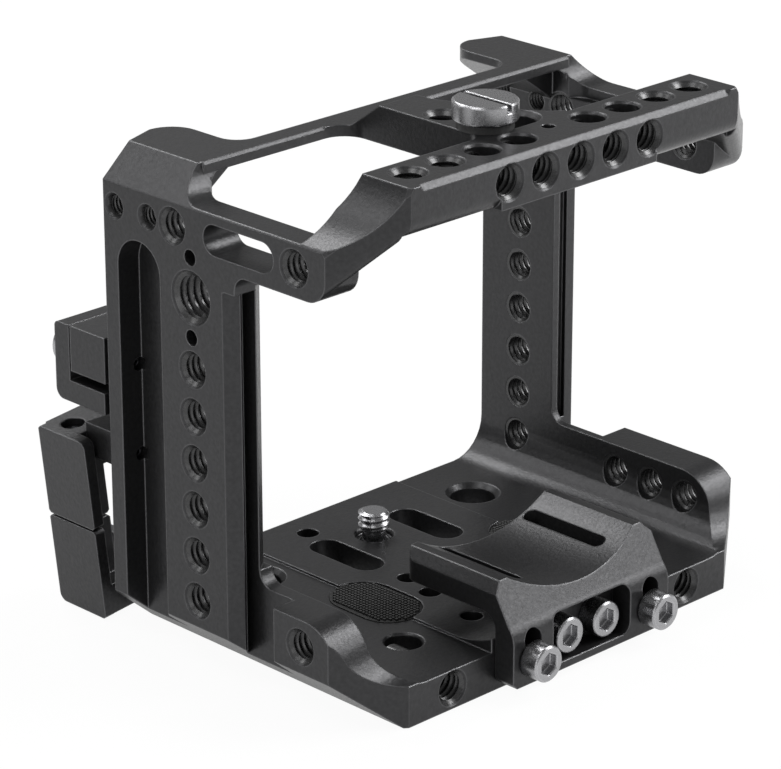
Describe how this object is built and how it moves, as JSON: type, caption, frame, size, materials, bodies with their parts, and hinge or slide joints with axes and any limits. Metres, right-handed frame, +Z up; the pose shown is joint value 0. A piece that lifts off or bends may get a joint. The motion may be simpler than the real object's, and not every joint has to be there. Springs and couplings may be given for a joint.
{
  "type": "camera cage",
  "caption": "Open milled camera cage with threaded accessory holes, a lens support, captive mounting screws and cable clamps.",
  "frame": {"origin": "centre of the base's lower face", "axes": "+X to the right seen from the rear of the camera, +Y to the rear, +Z up; the lens looks along -Y"},
  "size_m": [0.1097, 0.0942, 0.1057],
  "materials": {
    "black_anodised": "matt black anodised, fine bead-blasted grain",
    "black_rubber": "matt, fine square grid on the pads",
    "bright_steel": "turned, satin",
    "dark_steel": "black oxide"
  },
  "bodies": {
    "frame": {"cage_frame": "black_anodised", "rubber_pads": "black_rubber", "support_lock_screw_left": "bright_steel", "support_lock_screw_right": "bright_steel", "support_guide_screw_left": "bright_steel", "support_guide_screw_right": "bright_steel", "upper_clamp_body": "black_anodised", "upper_clamp_screw": "bright_steel", "upper_clamp_washer": "dark_steel", "lower_clamp_bracket": "black_anodised", "lower_clamp_top_jaw": "black_anodised", "lower_clamp_screw": "dark_steel", "upper_mount_screw": "dark_steel", "lower_mount_screw": "dark_steel"},
    "lens_support": {"lens_support": "black_anodised"},
    "top_washer": {"top_screw_washer": "black_rubber"},
    "top_clip": {"top_screw_clip": "dark_steel"},
    "top_screw": {"top_screw": "bright_steel"},
    "camera_washer": {"camera_screw_washer": "black_rubber"},
    "camera_screw": {"camera_screw": "bright_steel"},
    "upper_jaw": {"upper_clamp_jaw": "black_anodised"},
    "lower_jaw": {"lower_clamp_bottom_jaw": "black_anodised"}
  },
  "joints": [
    {"name": "lens_support_lift", "type": "slide", "parent": "frame", "child": "lens_support", "axis": [0, 0, 1], "range_m": [-0.0022, 0.0004]},
    {"name": "top_screw_travel", "type": "slide", "parent": "frame", "child": "top_washer", "axis": [1, 0, 0], "range_m": [0, 0.008]},
    {"name": "top_screw_lift", "type": "slide", "parent": "top_washer", "child": "top_clip", "axis": [0, 0, 1], "range_m": [0, 0.0022]},
    {"name": "top_screw_turn", "type": "hinge", "parent": "top_clip", "child": "top_screw", "pos_m": [-0.008, -0.01845, 0.102], "axis": [0, 0, 1], "continuous": true},
    {"name": "camera_screw_lift", "type": "slide", "parent": "frame", "child": "camera_washer", "axis": [0, 0, 1], "range_m": [-0.0024, 0.0011]},
    {"name": "camera_screw_turn", "type": "hinge", "parent": "camera_washer", "child": "camera_screw", "pos_m": [0, 0.01835, 0.001], "axis": [0, 0, 1], "continuous": true},
    {"name": "upper_jaw_slide", "type": "slide", "parent": "frame", "child": "upper_jaw", "axis": [0, 0, 1], "range_m": [-0.0018, 0.0017]},
    {"name": "lower_jaw_slide", "type": "slide", "parent": "frame", "child": "lower_jaw", "axis": [-0.1097, 0, 0.994], "range_m": [-0.004, 0]}
  ]
}
